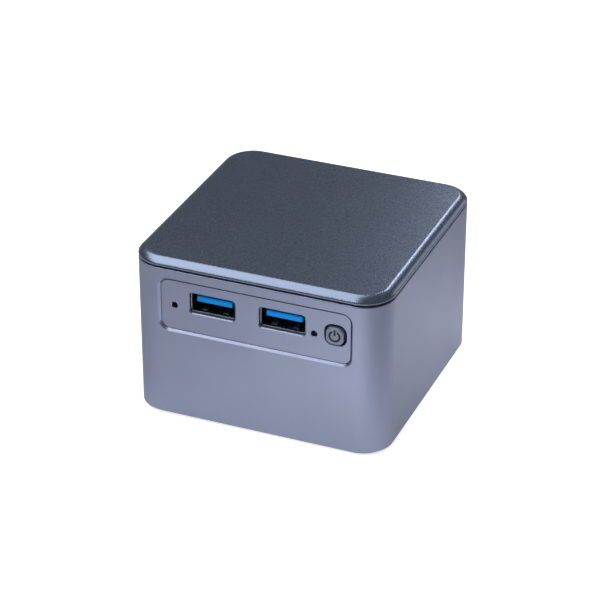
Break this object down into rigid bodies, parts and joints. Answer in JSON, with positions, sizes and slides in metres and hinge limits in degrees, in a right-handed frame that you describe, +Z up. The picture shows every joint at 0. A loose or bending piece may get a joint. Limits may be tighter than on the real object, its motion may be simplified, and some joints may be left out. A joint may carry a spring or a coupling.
{
  "type": "mini pc",
  "caption": "Palm-size cube computer: rounded square metal housing, flush lid, front sockets and power button in a bevelled window, fan-cooled board inside.",
  "frame": {"origin": "on the surface the feet stand on, under the middle of the housing", "axes": "+X to the right seen from the front, +Y to the back, +Z up; the power button and front sockets face -Y"},
  "size_m": [0.072, 0.0721, 0.0478],
  "materials": {
    "shell_metal": "bead blasted, blue grey anodised",
    "lid_metallic": "satin metallic coat, blue grey",
    "plate_metallic": "satin metallic coat, blue grey",
    "rear_plastic": "fine moulded texture",
    "cover_plastic": "fine moulded texture",
    "foot_rubber": "matt",
    "button_plastic": "satin metallic coat, grey",
    "mark_ink": "satin",
    "black_screw": "black oxide",
    "steel_screw": "bright zinc",
    "brass_turned": "turned",
    "socket_steel": "bright nickel plate",
    "tongue_blue": "moulded, satin",
    "contact_gold": "gold flash",
    "black_plastic": "moulded, satin",
    "pale_plastic": "moulded, satin",
    "clear_plastic": "clear, polished ends",
    "lamp_resin": "clear resin",
    "board_laminate": "green solder mask",
    "chip_resin": "moulded epoxy",
    "die_substrate": "laminate with bare die",
    "pad_silicone": "soft, matt",
    "sink_aluminium": "extruded, natural",
    "copper_winding": "enamelled wire",
    "magnet_ferrite": "bonded ferrite",
    "can_tin": "tin plated",
    "aerial_film": "flexible film",
    "lead_sheath": "extruded",
    "ferrite_block": "sintered"
  },
  "bodies": {
    "housing": {"outer_shell": "shell_metal", "top_lid": "lid_metallic", "bottom_cover": "cover_plastic", "rubber_feet": "foot_rubber", "bottom_screws": "black_screw", "threaded_inserts": "brass_turned", "front_io_plate": "plate_metallic", "rear_io_plate": "rear_plastic", "usb_shell_left": "socket_steel", "usb_shell_right": "socket_steel", "usb_tongue_left": "tongue_blue", "usb_tongue_right": "tongue_blue", "usb_contacts_left": "contact_gold", "usb_contacts_right": "contact_gold", "power_switch_body": "black_plastic", "reset_switch_body": "black_plastic", "status_led": "lamp_resin", "light_pipe": "clear_plastic", "mainboard": "board_laminate", "board_screws": "steel_screw", "processor": "die_substrate", "thermal_pad": "pad_silicone", "heatsink": "sink_aluminium", "heatsink_standoffs": "brass_turned", "heatsink_screws": "steel_screw", "fan_frame": "black_plastic", "fan_bush": "brass_turned", "fan_stator": "copper_winding", "fan_screws": "steel_screw", "power_inlet": "black_plastic", "inlet_pin": "socket_steel", "video_shell_1": "socket_steel", "video_shell_2": "socket_steel", "video_tongue_1": "black_plastic", "video_tongue_2": "black_plastic", "sound_socket": "black_plastic", "ssd_card": "board_laminate", "ssd_chips": "chip_resin", "ssd_socket": "black_plastic", "ssd_standoff": "brass_turned", "ssd_screw": "steel_screw", "wifi_module": "can_tin", "antenna_left": "aerial_film", "antenna_right": "aerial_film", "antenna_cables": "lead_sheath", "memory_chips": "chip_resin", "inductors": "ferrite_block", "capacitors": "can_tin", "clock_battery": "can_tin", "battery_clip": "contact_gold", "fan_header": "pale_plastic"},
    "power_button": {"power_button": "button_plastic", "power_mark": "mark_ink"},
    "power_plunger": {"power_switch_plunger": "pale_plastic"},
    "reset_plunger": {"reset_switch_plunger": "pale_plastic"},
    "fan_wheel": {"fan_rotor": "black_plastic", "rotor_magnet": "magnet_ferrite"}
  },
  "joints": [
    {"name": "power_button_press", "type": "slide", "parent": "housing", "child": "power_button", "axis": [0, 1, 0], "range_m": [0, 0.0005], "stiffness_N_per_m": 800, "springref_m": -0.0002},
    {"name": "power_plunger_press", "type": "slide", "parent": "housing", "child": "power_plunger", "axis": [0, 1, 0], "range_m": [0, 0.0005]},
    {"name": "reset_plunger_press", "type": "slide", "parent": "housing", "child": "reset_plunger", "axis": [0, 1, 0], "range_m": [0, 0.0004], "stiffness_N_per_m": 800, "springref_m": -0.0002},
    {"name": "fan_spin", "type": "hinge", "parent": "housing", "child": "fan_wheel", "pos_m": [0, 0, 0.00905], "axis": [0, 0, 1], "continuous": true}
  ],
  "couplings": [
    {"joint": "power_plunger_press", "follows": "power_button_press", "ratio": 1}
  ]
}
